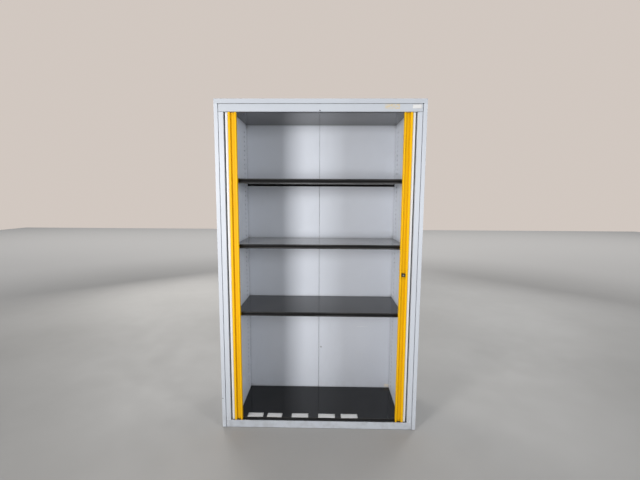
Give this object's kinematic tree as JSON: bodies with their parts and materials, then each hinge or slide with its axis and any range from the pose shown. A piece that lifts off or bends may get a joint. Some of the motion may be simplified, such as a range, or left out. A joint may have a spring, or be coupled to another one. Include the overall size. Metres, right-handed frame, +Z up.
{
  "type": "tambour door filing cabinet",
  "caption": "Tall steel filing cabinet with slatted doors that slide away into its sides, yellow door stiles with finger channels, a hook lock and black shelves on slotted clips.",
  "frame": {"origin": "on the floor, under the middle of the cabinet's width and depth", "axes": "+Z up, +X to the right seen from the front, -Y out of the front"},
  "size_m": [1.2, 0.45, 1.98],
  "materials": {
    "carcass_paint": "light grey powder coat, satin",
    "lining_paint": "light grey powder coat, satin",
    "black_paint": "black powder coat, semi-gloss",
    "stile_paint": "yellow powder coat, semi-gloss",
    "curtain_plastic": "white, satin",
    "track_plastic": "black, matt",
    "runner_plastic": "dark grey, matt",
    "lock_black": "black, satin",
    "lock_metal": "plain steel",
    "clip_zinc": "zinc plated",
    "foot_rubber": "black, matt",
    "buffer_plastic": "light grey, matt"
  },
  "bodies": {
    "carcass": {"top_panel": "carcass_paint", "header_rail": "carcass_paint", "front_sill": "carcass_paint", "front_strip": "track_plastic", "rear_sill": "carcass_paint", "rear_panel": "carcass_paint", "left_side_panel": "carcass_paint", "right_side_panel": "carcass_paint", "left_front_post": "carcass_paint", "right_front_post": "carcass_paint", "left_front_foot": "foot_rubber", "right_front_foot": "foot_rubber", "left_rear_foot": "foot_rubber", "right_rear_foot": "foot_rubber", "centre_buffer": "buffer_plastic", "base_panel": "black_paint", "ceiling_panel": "black_paint", "left_liner": "lining_paint", "right_liner": "lining_paint", "left_back_panel": "lining_paint", "right_back_panel": "lining_paint", "back_joint_strip": "lining_paint", "shelf_1": "black_paint", "shelf_1_left_front_clip": "clip_zinc", "shelf_1_left_rear_clip": "clip_zinc", "shelf_1_right_front_clip": "clip_zinc", "shelf_1_right_rear_clip": "clip_zinc", "shelf_2": "black_paint", "shelf_2_left_front_clip": "clip_zinc", "shelf_2_left_rear_clip": "clip_zinc", "shelf_2_right_front_clip": "clip_zinc", "shelf_2_right_rear_clip": "clip_zinc", "shelf_3": "black_paint", "shelf_3_left_front_clip": "clip_zinc", "shelf_3_left_rear_clip": "clip_zinc", "shelf_3_right_front_clip": "clip_zinc", "shelf_3_right_rear_clip": "clip_zinc", "left_top_track": "track_plastic", "left_bottom_track": "track_plastic", "right_top_track": "track_plastic", "right_bottom_track": "track_plastic", "left_end_stop": "runner_plastic", "right_end_stop": "runner_plastic", "left_curtain": "curtain_plastic", "right_curtain": "curtain_plastic"},
    "left_door": {"left_stile": "stile_paint", "left_top_runner": "runner_plastic", "left_bottom_runner": "runner_plastic", "lock_keeper": "lock_metal"},
    "right_door": {"right_stile": "stile_paint", "right_top_runner": "runner_plastic", "right_bottom_runner": "runner_plastic", "lock_case": "lock_black"},
    "lock": {"lock_cylinder": "lock_metal", "lock_hook": "lock_metal"}
  },
  "joints": [
    {"name": "left_door_slide", "type": "slide", "parent": "carcass", "child": "left_door", "axis": [1, 0, 0], "range_m": [0, 0.4753], "deforming": ["left_curtain"]},
    {"name": "right_door_slide", "type": "slide", "parent": "carcass", "child": "right_door", "axis": [-1, 0, 0], "range_m": [0, 0.4753], "deforming": ["right_curtain"]},
    {"name": "lock_turn", "type": "hinge", "parent": "right_door", "child": "lock", "pos_m": [0.49725, -0.2056, 0.977], "axis": [0, 1, 0], "range_deg": [0, 90]}
  ]
}
